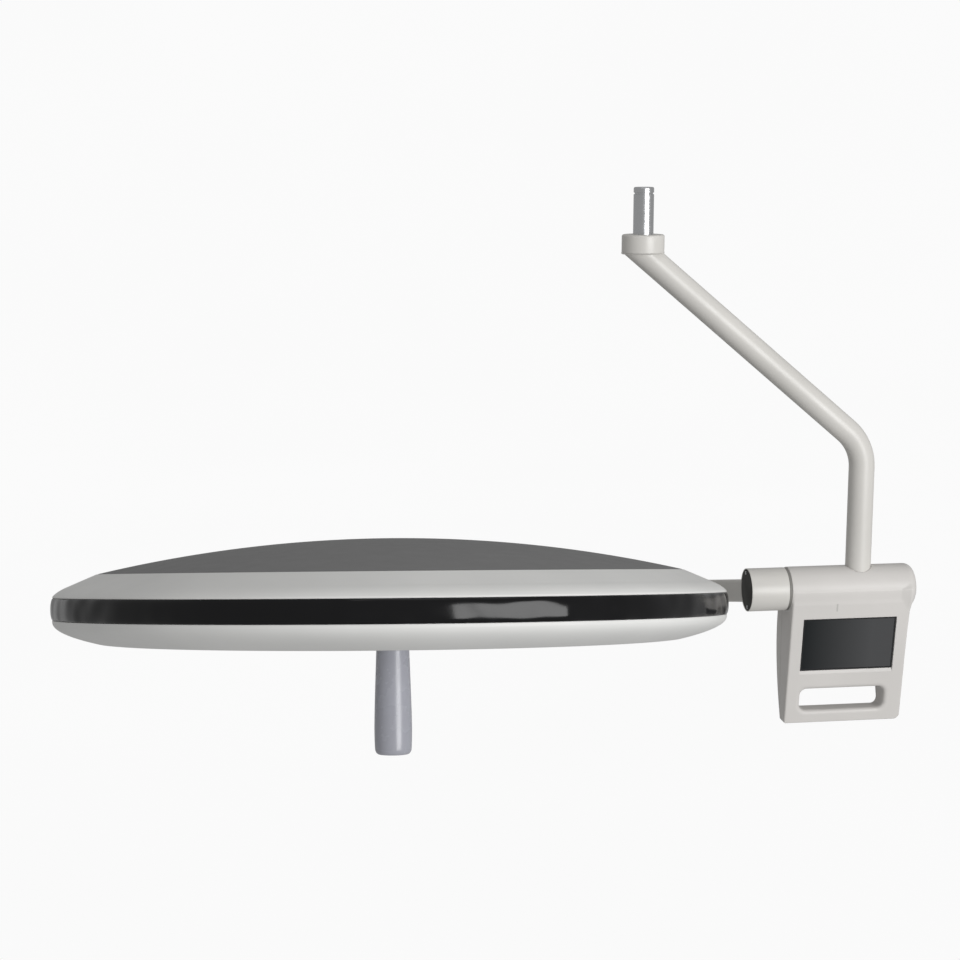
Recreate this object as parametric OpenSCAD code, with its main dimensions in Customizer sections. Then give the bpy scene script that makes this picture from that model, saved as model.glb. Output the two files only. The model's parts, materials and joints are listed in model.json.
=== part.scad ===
// Dental operating light: a thin round lamp head in a half yoke, hung from a bent mast tube
// through a control box with a touch screen. Millimetres, +Z up.
// The origin is on the axis of the pivot pin, at the shoulder that rests on the spring arm.
// Most modules are drawn around the head centre, where the pitch axis crosses the head's own axis,
// with X along the pitch axis towards the control box, and place() moves them to the origin.

/* [Head] */
// Radius of the head where the white shells meet the black band
head_r = 331; // [328:1:332]
// How far the black band bulges beyond the shells
band_bulge = 2; // [1:0.5:3]
// Height of the dome's peak above the pitch axis
dome_peak_z = 63.4; // [60:0.2:66]
// Height of the seam between the grey dome and the white upper shell
dome_edge_z = 30; // [29.5:0.1:30.5]
// Radius of the grey dome
dome_r = 289; // [288:0.5:290]
// Lowest plane of the lower shell
underside_z = -37.4; // [-38:0.1:-37]
// Wall of the moulded shells
shell_wall = 2.5; // [2:0.1:2.8]
// Resting tilt of the head about the pitch axis, near edge up
head_pitch = 13.5; // [0:0.5:20]
// Resting lean of the head about the roll axis
head_roll = 1.3; // [0:0.1:3]

/* [Light sources] */
// Lamp units on the inner ring
inner_count = 10; // [8:1:10]
// Lamp units on the outer ring
outer_count = 16; // [12:1:17]
// Radius of the inner ring
inner_ring_r = 110; // [105:1:115]
// Radius of the outer ring
outer_ring_r = 205; // [200:1:210]
// Radius of a reflector's mouth
reflector_r = 22; // [18:1:22]

/* [Handle] */
// Radius of the handle at its top
handle_top_r = 16.4; // [16:0.1:17]
// Largest radius of the handle
handle_max_r = 18.8; // [18:0.1:19.2]
// Height of the handle's lower tip
handle_tip_z = -151.5; // [-156:0.5:-146]

/* [Yoke] */
// Radius of the yoke arm's centreline
yoke_r = 385; // [384:1:387]
// Height of the yoke arm's section
yoke_h = 24; // [23:0.5:26]
// Thickness of the yoke arm's section
yoke_t = 10; // [9:0.5:11]
// Radius of the knuckle
knuckle_r = 22.1; // [22:0.1:22.4]

/* [Control box] */
// Distance from the head centre to the vertical swivel axis
swivel_x = 482; // [481:1:484]
// Left side of the box
box_left = 407; // [407:0.5:408]
// Right side of the box
box_right = 532; // [531.5:0.5:533]
// Lowest plane of the box
box_bottom = -143.5; // [-144:0.5:-141]
// Backward tilt of the box's front face
face_tilt = 8; // [7:0.5:9]
// Width of the screen window
window_w = 99; // [96:1:99]
// Height of the screen window
window_h = 58; // [54:0.5:58.5]

/* [Mast] */
// Outer radius of the mast tube
tube_r = 13; // [12.5:0.1:13]
// Wall of the mast tube
tube_wall = 2.5; // [2:0.1:3]
// Height at which the upright run starts to bend
bend_start_z = 125.2; // [123:0.2:129]
// Bend radius of the tube's centreline
bend_r = 50; // [45:1:55]
// Rise of the slanted run above horizontal
slant = 40.3; // [40:0.1:41]
// Height at which the slanted run is cut level
tube_end_z = 345; // [343:1:348]
// Radius of the pivot pin
pin_r = 10; // [9:0.5:12]
// Length of the pivot pin above its shoulder
pin_len = 46; // [44:1:50]

/* [Hidden] */
$fn = 96;
eps = 0.01;
lap = 0.12;                     // a bend is thicker than its straight runs, and they enter it, by this
far = 400;                      // longer than any cut needs
gap = 0.1;                      // between neighbours fixed to each other
run = 0.05;                     // radial running clearance of shafts in bushes
clear = 0.3;                    // between faces that move past each other
smooth_steps = 8;               // straight pieces in a drawn curve

white = [0.86, 0.85, 0.82];
grey = [0.42, 0.42, 0.42];
black = [0.05, 0.05, 0.05];
steel = [0.72, 0.73, 0.75];
alu = [0.78, 0.79, 0.8];
bronze = [0.72, 0.55, 0.3];
nylon = [0.3, 0.3, 0.29];
board = [0.08, 0.32, 0.16];
zinc = [0.6, 0.6, 0.58];

// head
yoke_z = -1.5;                  // height of the roll axis and the yoke arm against the pitch axis
band_top = 7.3;
band_bottom = -14;
band_in = head_r - 3;
dome_rise = dome_peak_z - dome_edge_z;
dome_sphere_r = (pow(dome_r, 2) + pow(dome_rise, 2)) / (2 * dome_rise);
ledge_z = dome_edge_z - shell_wall;         // the dome's foot stands here
ledge_in = dome_r - 15;
dome_foot_in = dome_r - 11;
dome_screw_r = dome_r - 7;
cover_r = 266;
cover_t = 3;
cover_top = underside_z + cover_t;
gasket_t = 1;
rest_z = cover_top + gasket_t;              // underside of the ledge that the lens cover seals against
rest_in = 257;
rest_top = rest_z + 2.4;
cover_hole_r = 40;
cover_screw_r = 262;
frame_top = 0;
frame_bottom = -10;
frame_out = 316;
frame_in = 268;
upper_post_r = 308;
lower_post_r = 278;
post_r = 4.5;
shell_screw_count = 8;
shell_screw_turn = 180 / shell_screw_count; // keeps the screws clear of the spokes and the rear boss
spoke_count = 6;
hub_r = 48;
rear_boss_r = 14;
rear_boss_end = 341;
rear_slot_r = rear_boss_r + 1;
shaft_seat_y = 302;
roll_r = 8;                                 // both pivots use a 16 mm hollow shaft
shaft_bore = 4;
spreader_t = 3;
spreader_top = frame_bottom - gap;
spreader_bottom = spreader_top - spreader_t;
board_t = 1.6;
led_board_top = spreader_bottom - gap;
led_board_bottom = led_board_top - board_t;
led_side = 7;
led_t = 1.6;
reflector_top = led_board_bottom - gap;
reflector_bottom = rest_z - 0.2;
reflector_neck_r = 8;
lens_t = 2.5;

// handle
spigot_r = 11;
spigot_top = -24;
spigot_end = -128;
spigot_flange_t = 4;
handle_top_z = -42;
handle_wide_z = -128;
handle_end_r = 17.6;
handle_bore_r = spigot_r + 0.4;
clip_z = -62;
clip_w = 2.2;
hub_ring_r = 46;

// pitch pivot, along X
knuckle_left = 364.5;
knuckle_right = 404;
knuckle_cavity = 17;
knuckle_wall_x = 398;
cap_t = 3;
cap_r = knuckle_r - 0.9;
cap_screw_z = 17.4;
barrel_r = 22.6;
barrel_left = 406.5;
barrel_right = 540;
barrel_round = 9;
housing_left = 408;
housing_right = 450;
bush_out = roll_r + 2;
bush_flange_r = roll_r + 5;
bush_flange_t = 1.5;
bush_len = 12;
pitch_nut_x = 455.2;
nut_t = 7;
washer_t = 0.9;
washer_pitch = 1.05;
shaft_screw_r = 11;                         // the three screws stand on this radius
shaft_screw_angles = [30, 150, 270];

// roll pivot, along Y
hub_near = 350;
hub_far = 397;
roll_bush_far = 374;
hub_out = 18;
hub_cavity = 15;
roll_nut_y = 379;
tongue_t = 5.4;
tongue_h = 9;                               // the tongues fill the arm's lower half, the duct its upper
duct_lift = 5.5;
duct_r = 2.8;
arm_screw_drop = 4.5;
arm_screw_angles = [4, 5.1, 85.4, 86.5];

// swivel pivot, along Z
journal_r = 9;
swivel_bush_out = journal_r + 2.5;
swivel_top = 12;
swivel_bottom = -21;
swivel_out = 16;
tube_bottom = 18;

// control box
box_wall = 2.5;
face_y = -22;
face_z = -13;
split_y = 14;
slot_left = 422;
slot_right = 513.5;
slot_top = -105.3;
slot_bottom = -131.3;
slot_round = 8;
window_left = 420;
window_top = -15.6;                         // down the tilted face from its upper edge
glass_sink = 1.4;
post_left = 413.2;
post_right = 525.8;
post_heights = [-36, -94];
board_depth = 10.5;
sensor_left = 453.6;                        // the light sensor's slot, on the tilted face
sensor_low = -7.7;
sensor_w = 1.6;
sensor_h = 8.3;

// mast
bend_turn = 90 - slant;
bend_tangent = bend_r * tan(bend_turn / 2);
bend_z = bend_start_z + bend_tangent;       // the two straight runs would cross here
slant_len = (tube_end_z - bend_z) / sin(slant);
pin_x = swivel_x - (tube_end_z - bend_z) / tan(slant);
boss_r = 21;
boss_t = 18;
shoulder_z = tube_end_z + boss_t;
pin_bore = 5;
cable_r = 3;

// Frames

module place() {
    translate([-pin_x, 0, -shoulder_z]) children();
}

module in_yoke() {
    place() rotate([-head_pitch, 0, 0]) children();
}

module in_head() {
    in_yoke() translate([0, 0, yoke_z]) rotate([0, head_roll, 0]) translate([0, 0, -yoke_z]) children();
}

// The plane of the tilted front face: X as in the box, Y into the box, Z up the face
module on_face() {
    place() translate([0, face_y, face_z]) rotate([face_tilt, 0, 0]) children();
}

// Shapes

function curve(a, b, c) =
    [for (i = [0:smooth_steps]) let (t = i / smooth_steps)
        (1 - t) * (1 - t) * a + 2 * t * (1 - t) * b + t * t * c];

function arc(x, y, r, from, to) =
    [for (i = [0:smooth_steps]) let (a = from + (to - from) * i / smooth_steps)
        [x + r * cos(a), y + r * sin(a)]];

function rounded_rect(x0, y0, x1, y1, r) = concat(
    arc(x1 - r, y1 - r, r, 0, 90),
    arc(x0 + r, y1 - r, r, 90, 180),
    arc(x0 + r, y0 + r, r, 180, 270),
    arc(x1 - r, y0 + r, r, 270, 360));

function dome_z(r) = dome_peak_z - dome_sphere_r + sqrt(pow(dome_sphere_r, 2) - r * r);

module ring(r_out, r_in, z0, z1) {
    rotate_extrude() translate([r_in, z0]) square([r_out - r_in, z1 - z0]);
}

module rod(r, z0, z1) {
    translate([0, 0, z0]) cylinder(r = r, h = z1 - z0);
}

// Cylinder along X from x0 to x1
module x_rod(r, x0, x1) {
    translate([x0, 0, 0]) rotate([0, 90, 0]) cylinder(r = r, h = x1 - x0);
}

// Cylinder along Y from y0 to y1
module y_rod(r, y0, y1) {
    translate([0, y0, 0]) rotate([-90, 0, 0]) cylinder(r = r, h = y1 - y0);
}

module around(count, r, turn = 0) {
    for (i = [0:count - 1]) rotate([0, 0, turn + i * 360 / count]) translate([r, 0, 0]) children();
}

// Pan-head screw, head below z = 0, shank upwards
module screw(shank_r, shank_len, head_r, head_t) {
    difference() {
        union() {
            rod(head_r, -head_t, 0);
            rod(shank_r, -eps, shank_len);
        }
        translate([0, 0, -head_t - eps]) cylinder(r = shank_r * 0.7, h = head_t * 0.6, $fn = 6);
    }
}

// Round cable through a list of points
module cable(points, r) {
    for (i = [0:len(points) - 2]) {
        leg = points[i + 1] - points[i];
        translate(points[i])
            rotate([0, acos(leg[2] / norm(leg)), atan2(leg[1], leg[0])])
            cylinder(r = r, h = norm(leg), $fn = 24);
        if (i > 0) translate(points[i]) sphere(r = r + 0.15, $fn = 24);
    }
}

// Flanged bush along Z: the flange ends at z = 0, the sleeve goes up
module bush(r_in, r_out, length) {
    ring(r_out, r_in, 0, length);
    ring(r_in + 5 - run, r_in, -bush_flange_t, 0);
}

// Three spring washers. The first sits on the shaft's full width, the others on its narrow end.
module washer_stack() {
    for (i = [0:2])
        ring(11.5, roll_r + gap - (i == 0 ? 0 : 2), i * washer_pitch, i * washer_pitch + washer_t);
}

module hex_nut(r_in, across_corners_r, t) {
    difference() {
        cylinder(r = across_corners_r, h = t, $fn = 6);
        rod(r_in, -eps, t + eps);
    }
}

// Mast

// Ring or disc swept round a bend that starts at the origin along +Z and leans towards -X
module elbow(r_out, r_in, bend, turn) {
    translate([-bend, 0, 0]) rotate([90, 0, 0]) rotate_extrude(angle = turn) translate([bend, 0])
        difference() {
            circle(r = r_out);
            if (r_in > 0) circle(r = r_in);
        }
}

// Puts its children at the far end of such an elbow, +Z along its leaning end
module after_elbow(bend, turn) {
    translate([-bend, 0, 0]) rotate([90, 0, 0]) rotate([0, 0, turn])
        translate([bend, 0, 0]) rotate([-90, 0, 0]) children();
}

module bent_tube() {
    lead = 20;
    bore = tube_r - tube_wall;
    color(white) place() intersection() {
        translate([swivel_x, 0, 0]) {
            ring(tube_r, bore, tube_bottom, bend_start_z + lap);
            translate([0, 0, bend_start_z]) {
                elbow(tube_r + lap, bore - lap, bend_r, bend_turn);
                after_elbow(bend_r, bend_turn) ring(tube_r, bore, -lap, slant_len - bend_tangent + lead);
            }
        }
        translate([0, -far, 0]) cube([2 * far, 2 * far, tube_end_z]);
    }
}

// Welded to the tube's level end. Its wider lower bore gives the cable room to straighten.
module tube_boss() {
    chamfer = 1.5;
    wide_bore = 10;
    wide_depth = 10;
    color(white) place() translate([pin_x, 0, tube_end_z]) rotate_extrude() polygon([
        [wide_bore, 0], [boss_r, 0], [boss_r, boss_t - chamfer], [boss_r - chamfer, boss_t],
        [pin_bore, boss_t], [pin_bore, wide_depth], [wide_bore, wide_depth]
    ]);
}

module pivot_pin() {
    groove_z = pin_len - 7;
    groove_t = 1.6;
    groove_depth = 1;
    chamfer = 1.5;
    color(steel) place() translate([pin_x, 0, shoulder_z]) rotate_extrude() polygon([
        [pin_bore, 0], [pin_r, 0], [pin_r, groove_z], [pin_r - groove_depth, groove_z],
        [pin_r - groove_depth, groove_z + groove_t], [pin_r, groove_z + groove_t],
        [pin_r, pin_len - chamfer], [pin_r - chamfer, pin_len], [pin_bore, pin_len]
    ]);
}

// Steel spigot fixed in the tube's lower end. The control box turns on it.
module swivel_journal() {
    bore = 4;
    end_z = swivel_bottom - 5;
    ring_z = swivel_bottom - bush_flange_t - clear;
    color(steel) place() translate([swivel_x, 0, 0]) rotate_extrude() polygon([
        [bore, end_z], [journal_r, end_z], [journal_r, ring_z - 1.6], [journal_r - 1, ring_z - 1.6],
        [journal_r - 1, ring_z], [journal_r, ring_z],
        [journal_r, swivel_top + bush_flange_t + clear], [tube_r - gap, swivel_top + bush_flange_t + clear],
        [tube_r - gap, tube_bottom - eps], [tube_r - tube_wall - gap, tube_bottom - eps],
        [tube_r - tube_wall - gap, tube_bottom + 40], [bore, tube_bottom + 40]
    ]);
}

module swivel_ring() {
    ring_t = 1.4;
    ring_z = swivel_bottom - bush_flange_t - clear - gap;
    mouth = 6;
    color(zinc) place() translate([swivel_x, 0, 0]) difference() {
        ring(journal_r + 3, journal_r - 1 + gap, ring_z - ring_t, ring_z);
        translate([0, -mouth / 2, ring_z - 2 * ring_t]) cube([far, mouth, 3 * ring_t]);
    }
}

// Cable inside the tube, from below the journal up through the pin's bore
module mast_cable() {
    top_bend = 14;
    top_tangent = top_bend * tan(bend_turn / 2);
    slant_run = slant_len - bend_tangent - top_tangent;
    pin_run = boss_t + pin_len - top_tangent - 4;
    color(black) place() translate([swivel_x, 0, 0]) {
        rod(cable_r, swivel_bottom - 8, bend_start_z + lap);
        translate([0, 0, bend_start_z]) {
            elbow(cable_r + lap, 0, bend_r, bend_turn);
            after_elbow(bend_r, bend_turn) {
                rod(cable_r, -lap, slant_run + lap);
                translate([0, 0, slant_run]) rotate([0, 0, 180]) {
                    elbow(cable_r + lap, 0, top_bend, bend_turn);
                    after_elbow(top_bend, bend_turn) rod(cable_r, -lap, pin_run);
                }
            }
        }
    }
}

// Control box

// Side outline of the box body, drawn inset by t
function box_outline(t) = let (
    toe_round = 3,
    toe_z = box_bottom + t + toe_round,
    toe_y = face_y + t + (face_z - toe_z) * tan(face_tilt) + toe_round,
    heel = [12 - 0.8 * t, box_bottom + 1 + t])
    concat(
        [[-barrel_r + t, 0], [face_y + t, face_z]],
        arc(toe_y, toe_z, toe_round, 180, 270),
        curve(heel, [46 - 1.3 * t, -62], [barrel_r - t, 0]));

module box_body(t) {
    translate([box_left + t, 0, 0])
        rotate([90, 0, 90])
        linear_extrude(box_right - box_left - 2 * t)
        polygon(box_outline(t));
}

// The barrel's right end is rounded, its left end is open towards the knuckle
module barrel(t) {
    rotate([0, 90, 0]) rotate_extrude() polygon(concat(
        [[0, barrel_left + t], [barrel_r - t, barrel_left + t]],
        arc(barrel_r - barrel_round, barrel_right - barrel_round, barrel_round - t, 0, 90),
        [[0, barrel_right - t]]));
}

module finger_slot(t) {
    rotate([90, 0, 0])
        linear_extrude(far, center = true)
        polygon(rounded_rect(slot_left - t, slot_bottom - t, slot_right + t, slot_top + t, slot_round + t));
}

module front_window(w_extra, depth0, depth1) {
    translate([0, face_y, face_z]) rotate([face_tilt, 0, 0])
        translate([window_left - w_extra, depth0, window_top - window_h - w_extra])
        cube([window_w + 2 * w_extra, depth1 - depth0, window_h + 2 * w_extra]);
}

// Only the right lower corner is bevelled
module box_corner_cut() {
    corner = 7;
    translate([box_right, 0, box_bottom]) rotate([0, 45, 0]) cube([corner, far, corner], center = true);
}

module box_posts(r, y0, y1) {
    for (x = [post_left, post_right], z = post_heights)
        translate([x, 0, z]) y_rod(r, y0, y1);
}

// Hollow box, before it is split into its two shells
module box_skin() {
    difference() {
        union() {
            difference() {
                union() {
                    box_body(0);
                    barrel(0);
                }
                box_body(box_wall);
                barrel(box_wall);
            }
            intersection() {
                finger_slot(box_wall);
                box_body(0);
            }
        }
        finger_slot(0);
        box_corner_cut();
        x_rod(barrel_r - box_wall, barrel_left - 1, barrel_left + 2 * box_wall);
        translate([swivel_x, 0, 0]) rod(tube_r + 0.5, 0, far);
    }
}

module box_front_shell() {
    post = 3.5;
    bezel = 2;
    color(white) place() difference() {
        union() {
            intersection() {
                box_skin();
                translate([0, -far + split_y, -far]) cube([2 * far, far, 2 * far]);
            }
            intersection() {
                box_posts(post, -far / 2, split_y);
                box_body(1);
            }
        }
        front_window(0, -far / 4, 5);
        front_window(bezel, -far / 4, glass_sink - 0.6);
        box_posts(1.3, -6, far);
        translate([0, face_y, face_z]) rotate([face_tilt, 0, 0])
            translate([sensor_left - gap, -5, sensor_low - gap])
            cube([sensor_w + 2 * gap, 10, sensor_h + 2 * gap]);
    }
}

module box_back_shell() {
    post = 3.5;
    head_hole = 3.2;
    color(white) place() difference() {
        union() {
            intersection() {
                box_skin();
                translate([0, split_y + gap, -far]) cube([2 * far, far, 2 * far]);
            }
            intersection() {
                box_posts(post + 1, split_y + gap, far / 2);
                box_body(1);
            }
        }
        box_posts(1.7, 0, far);
        box_posts(head_hole, split_y + 3, far);
    }
}

module box_screws() {
    color(steel) place()
        for (x = [post_left, post_right], z = post_heights)
            translate([x, split_y + 3, z]) rotate([90, 0, 0]) screw(1.25, 18, 2.9, 2);
}

// Cast frame: the barrel housing along X, the swivel housing along Z and the nut chamber between them
module box_frame() {
    chamber_left = housing_right - 2;
    chamber_right = swivel_x - 12;
    chamber_r = 13.5;
    color(alu) place() difference() {
        union() {
            x_rod(17, housing_left, housing_right);
            translate([chamber_left, -15, -16]) cube([chamber_right - chamber_left, 30, 28]);
            translate([swivel_x, 0, 0]) rod(swivel_out, swivel_bottom, swivel_top);
        }
        x_rod(bush_out + run, housing_left - 1, housing_right + 1);
        x_rod(chamber_r, housing_right, swivel_x - swivel_out);
        translate([housing_right, 0, -9]) cube([swivel_x - swivel_out - housing_right, 20, 18]);
        translate([swivel_x, 0, 0]) rod(swivel_bush_out + run, swivel_bottom - 1, swivel_top + 1);
    }
}

module swivel_bush_upper() {
    color(bronze) place() translate([swivel_x, 0, swivel_top]) mirror([0, 0, 1])
        bush(journal_r + run, swivel_bush_out, 10);
}

module swivel_bush_lower() {
    color(bronze) place() translate([swivel_x, 0, swivel_bottom])
        bush(journal_r + run, swivel_bush_out, 10);
}

module pitch_bush_left() {
    color(bronze) place() translate([housing_left, 0, 0]) rotate([0, 90, 0])
        bush(roll_r + run, bush_out, bush_len);
}

module pitch_bush_right() {
    color(bronze) place() translate([housing_right, 0, 0]) rotate([0, -90, 0])
        bush(roll_r + run, bush_out, bush_len);
}

// Dark spacer that shows as a fine groove between the knuckle and the barrel
module seam_ring() {
    color(nylon) place() rotate([0, 90, 0])
        ring(barrel_r - 1.2, bush_flange_r + 1, knuckle_right + clear, barrel_left - gap);
}

module touch_glass() {
    edge = 0.2;
    color(black) on_face()
        translate([window_left + edge, glass_sink, window_top - window_h + edge])
        cube([window_w - 2 * edge, 1.8, window_h - 2 * edge]);
}

module display_gasket() {
    lap = 1;
    color(black) on_face() difference() {
        translate([window_left - lap, box_wall + gap, window_top - window_h - lap])
            cube([window_w + 2 * lap, 0.8, window_h + 2 * lap]);
        translate([window_left, 0, window_top - window_h]) cube([window_w, 10, window_h]);
    }
}

module display_module() {
    lap = 1;
    color(steel) on_face()
        translate([window_left - lap, box_wall + gap + 0.9, window_top - window_h - lap])
        cube([window_w + 2 * lap, 5, window_h + 2 * lap]);
}

module board_spacers() {
    inset = 5;
    color(zinc) on_face()
        for (x = [window_left + inset, window_left + window_w - inset], z = [-28, -66])
            translate([x, 0, z]) y_rod(2.5, box_wall + gap + 6, board_depth - gap);
}

module control_board() {
    top = -24;
    bottom = window_top - window_h;
    color(board) on_face() {
        translate([window_left, board_depth, bottom]) cube([window_w, board_t, top - bottom]);
        for (x = [0:3]) translate([window_left + 12 + 20 * x, board_depth + board_t - eps, -50])
            cube([10, 1.6, 10]);
        translate([window_left + 20, board_depth + board_t - eps, -68]) cube([40, 7, 8]);
        translate([window_left + 75, board_depth + board_t - eps, -66]) y_rod(5, 0, 9);
    }
}

module sensor_window() {
    color(nylon) on_face()
        translate([sensor_left, 0.3, sensor_low]) cube([sensor_w, box_wall - 0.5, sensor_h]);
}

// Leads from the mast cable down to the board
module box_harness() {
    color(black) place()
        cable([[swivel_x, 0, swivel_bottom - 9], [swivel_x, 4, -50], [swivel_x - 20, 7, -61]], 2);
}

// Yoke

module knuckle_housing() {
    lug_r = 3;
    color(white) in_yoke() difference() {
        union() {
            difference() {
                union() {
                    x_rod(knuckle_r, knuckle_left, knuckle_right);
                    yoke_tongue(2.6, 5.7);
                }
                x_rod(knuckle_cavity, knuckle_left - 1, knuckle_wall_x);
            }
            for (z = [-cap_screw_z, cap_screw_z])
                translate([0, 0, z]) x_rod(lug_r, knuckle_left + 2, knuckle_left + 14);
        }
        x_rod(cap_r + gap, knuckle_left - 1, knuckle_left + 0.5 + cap_t + gap);
        x_rod(roll_r + gap, knuckle_left, knuckle_right + 1);
        yoke_duct(duct_r, 0, 8);
        arm_screw_holes();
        for (z = [-cap_screw_z, cap_screw_z])
            translate([0, 0, z]) x_rod(1.1, knuckle_left, knuckle_left + 12);
        for (a = shaft_screw_angles) rotate([a, 0, 0])
            translate([0, 0, shaft_screw_r]) x_rod(1.6, knuckle_wall_x - 1, knuckle_right - 1);
    }
}

module knuckle_cap() {
    color(nylon) in_yoke() difference() {
        x_rod(cap_r, knuckle_left + 0.5, knuckle_left + 0.5 + cap_t);
        for (z = [-cap_screw_z, cap_screw_z])
            translate([0, 0, z]) x_rod(1.2, knuckle_left, knuckle_left + 12);
    }
}

module cap_screws() {
    color(steel) in_yoke()
        for (z = [-cap_screw_z, cap_screw_z])
            translate([knuckle_left + 0.5 - gap / 2, 0, z]) rotate([0, 90, 0]) screw(1, 9, 1.9, 0.8);
}

module pitch_shaft() {
    flange_r = 14;
    flange_t = 5;
    color(steel) in_yoke() difference() {
        rotate([0, 90, 0]) rotate_extrude() polygon([
            [shaft_bore, knuckle_wall_x - flange_t - gap], [flange_r, knuckle_wall_x - flange_t - gap],
            [flange_r, knuckle_wall_x - gap], [roll_r, knuckle_wall_x - gap],
            [roll_r, housing_right + 2], [roll_r - 2, housing_right + 2],
            [roll_r - 2, pitch_nut_x + nut_t + 2], [shaft_bore, pitch_nut_x + nut_t + 2]
        ]);
        for (a = shaft_screw_angles) rotate([a, 0, 0])
            translate([0, 0, shaft_screw_r]) x_rod(1.6, knuckle_left, knuckle_right);
    }
}

module shaft_screws() {
    color(zinc) in_yoke()
        for (a = shaft_screw_angles) rotate([a, 0, 0])
            translate([knuckle_wall_x - 5.2, 0, shaft_screw_r]) rotate([0, 90, 0])
            screw(1.5, 9, 2.7, 2.5);
}

// Stack of spring washers that sets the pivot's friction
module pitch_washers() {
    color(steel) in_yoke() translate([housing_right + bush_flange_t + clear, 0, 0]) rotate([0, 90, 0])
        washer_stack();
}

module pitch_nut() {
    color(zinc) in_yoke() translate([pitch_nut_x, 0, 0]) rotate([0, 90, 0])
        hex_nut(roll_r - 2 + run, 12.5, nut_t);
}

// Tongue that plugs into the hollow end of the arm
module yoke_tongue(from, to) {
    translate([0, 0, yoke_z - tongue_h]) rotate([0, 0, from])
        rotate_extrude(angle = to - from)
        translate([yoke_r - tongue_t / 2, 0]) square([tongue_t, tongue_h]);
}

// Ring-shaped duct along the arm's centreline, from one angle to another
module yoke_duct(r, from, to) {
    translate([0, 0, yoke_z + duct_lift]) rotate([0, 0, from])
        rotate_extrude(angle = to - from) translate([yoke_r, 0]) circle(r = r, $fn = 24);
}

module arm_screw_holes() {
    for (a = arm_screw_angles) rotate([0, 0, a])
        translate([0, 0, yoke_z - arm_screw_drop]) x_rod(1.3, yoke_r - 10, yoke_r + 10);
}

module yoke_arm() {
    wall = 2;
    edge = 2.5;
    color(white) in_yoke() difference() {
        rotate_extrude(angle = 90) polygon(rounded_rect(
            yoke_r - yoke_t / 2, yoke_z - yoke_h / 2, yoke_r + yoke_t / 2, yoke_z + yoke_h / 2, edge));
        translate([0, 0, yoke_z]) rotate([0, 0, -1]) rotate_extrude(angle = 92)
            translate([yoke_r, 0]) square([yoke_t - 2 * wall, yoke_h - 2 * wall], center = true);
        x_rod(knuckle_r + gap, knuckle_left - 20, knuckle_right + 20);
        translate([0, 0, yoke_z]) y_rod(hub_out + gap, hub_near, hub_far);
        arm_screw_holes();
    }
}

module arm_screws() {
    color(steel) in_yoke() for (a = arm_screw_angles) rotate([0, 0, a])
        translate([yoke_r + yoke_t / 2, 0, yoke_z - arm_screw_drop]) rotate([0, -90, 0])
        screw(1.2, 7.5, 2.4, 1.2);
}

module yoke_cable() {
    color(black) in_yoke() yoke_duct(1.9, 2, 88);
}

module roll_housing() {
    color(white) in_yoke() difference() {
        union() {
            translate([0, 0, yoke_z]) y_rod(hub_out, hub_near, hub_far);
            yoke_tongue(84.9, 87.6);
        }
        translate([0, 0, yoke_z]) {
            y_rod(bush_out + run, hub_near - 1, hub_far);
            y_rod(hub_cavity, roll_bush_far, hub_far + 1);
        }
        yoke_duct(duct_r, 84, 90);
        arm_screw_holes();
    }
}

module roll_bush_near() {
    color(bronze) in_yoke() translate([0, hub_near, yoke_z]) rotate([-90, 0, 0])
        bush(roll_r + run, bush_out, 10);
}

module roll_bush_far() {
    color(bronze) in_yoke() translate([0, roll_bush_far, yoke_z]) rotate([90, 0, 0])
        bush(roll_r + run, bush_out, 10);
}

module roll_spacer() {
    color(nylon) in_yoke() translate([0, 0, yoke_z]) rotate([-90, 0, 0])
        ring(hub_out - 2, roll_r + 1, rear_boss_end + clear, hub_near - bush_flange_t - gap);
}

// Push-in cap over the roll pivot's nut
module hub_cap() {
    color(nylon) in_yoke() translate([0, 0, yoke_z]) {
        y_rod(hub_out, hub_far + gap, hub_far + 2);
        y_rod(hub_cavity - gap, hub_far - 3, hub_far + 1);
    }
}

// Head

// Round-ended opening at the back, where the frame's boss comes out
module rear_opening() {
    translate([0, 0, yoke_z]) y_rod(rear_slot_r, 290, far);
}

module dome_cap() {
    steps = 2 * smooth_steps;
    rim = dome_r - 2 * gap;
    color(grey) in_head() difference() {
        rotate_extrude() polygon(concat(
            [for (i = [0:steps]) let (r = rim * i / steps) [r, dome_z(r)]],
            [[rim, ledge_z + gap], [dome_foot_in, ledge_z + gap]],
            [for (i = [steps:-1:0]) let (r = dome_foot_in * i / steps) [r, dome_z(r) - shell_wall]]));
        around(shell_screw_count, dome_screw_r, shell_screw_turn) rod(1.4, 0, ledge_z + 3);
    }
}

module dome_screws() {
    color(steel) in_head() around(shell_screw_count, dome_screw_r, shell_screw_turn)
        translate([0, 0, ledge_z - shell_wall]) screw(1.3, 5, 2.6, 1.8);
}

module upper_shell() {
    color(white) in_head() difference() {
        union() {
            rotate_extrude() polygon(concat(
                [[dome_r, dome_edge_z]],
                curve([head_r - 14, 18], [head_r - 3.5, 13.4], [head_r + 0.5, band_top]),
                curve([head_r + 0.5 - shell_wall, band_top], [head_r - 5, 11.2], [head_r - 15.5, 15.4]),
                [[dome_r + 2, ledge_z - shell_wall]],
                [[ledge_in, ledge_z - shell_wall], [ledge_in, ledge_z], [dome_r, ledge_z]]));
            around(shell_screw_count, upper_post_r, shell_screw_turn) rod(post_r, frame_top + gap, 19.2);
        }
        around(shell_screw_count, upper_post_r, shell_screw_turn) rod(1.6, frame_top, 14);
        around(shell_screw_count, dome_screw_r, shell_screw_turn) rod(1.5, 0, 60);
        rear_opening();
    }
}

module upper_shell_screws() {
    color(steel) in_head() around(shell_screw_count, upper_post_r, shell_screw_turn)
        translate([0, 0, frame_bottom]) screw(1.5, 22, 3.4, 2.4);
}

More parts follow.
